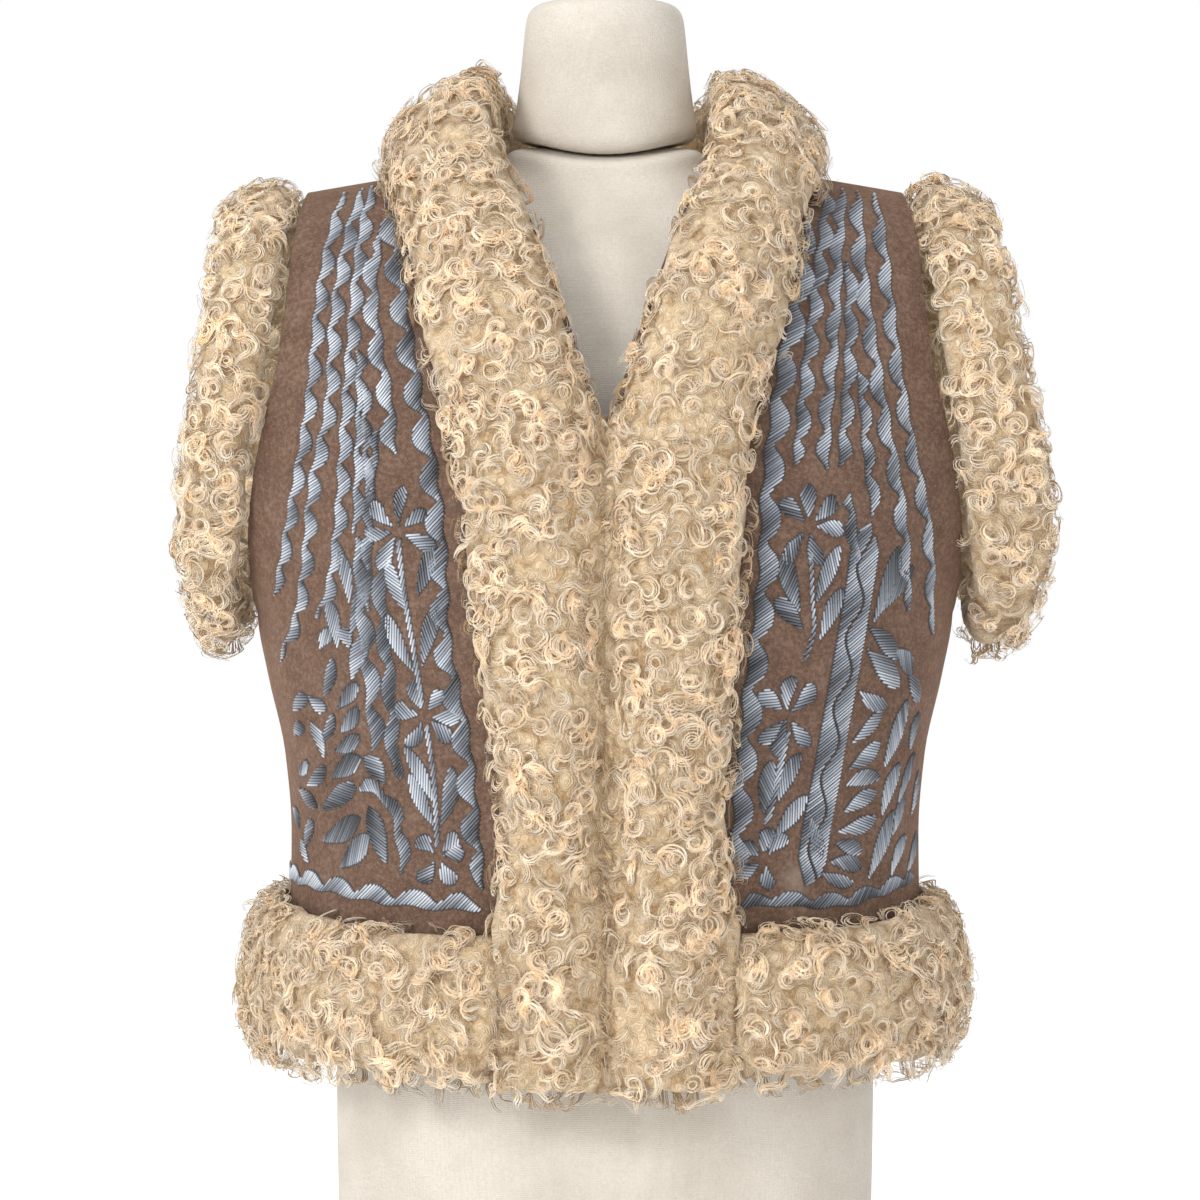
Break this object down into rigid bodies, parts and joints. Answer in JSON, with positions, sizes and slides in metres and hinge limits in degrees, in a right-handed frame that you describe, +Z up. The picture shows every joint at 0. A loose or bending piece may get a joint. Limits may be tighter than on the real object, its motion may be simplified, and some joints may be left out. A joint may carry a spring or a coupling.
{
  "type": "embroidered folk vest on dress form",
  "caption": "Sleeveless hip-length suede vest with curly fur collar, fronts, cuffs and hem, embroidered fronts and back, worn on a limbless dress form.",
  "frame": {"origin": "middle of the dress form's flat base", "axes": "+Z up, -Y towards the front of the vest, +X towards the wearer's left"},
  "size_m": [0.5579, 0.3518, 0.836],
  "materials": {
    "linen": "fine off-white canvas",
    "suede": "brown suede with grey-blue silk embroidery",
    "wool": "curly cream lambswool"
  },
  "bodies": {
    "root": {"form_torso": "linen", "form_neck": "linen", "front_left": "suede", "front_right": "suede", "back": "suede", "band_left": "wool", "band_right": "wool", "hem_band": "wool", "cuff_left": "wool", "cuff_right": "wool"}
  },
  "joints": []
}
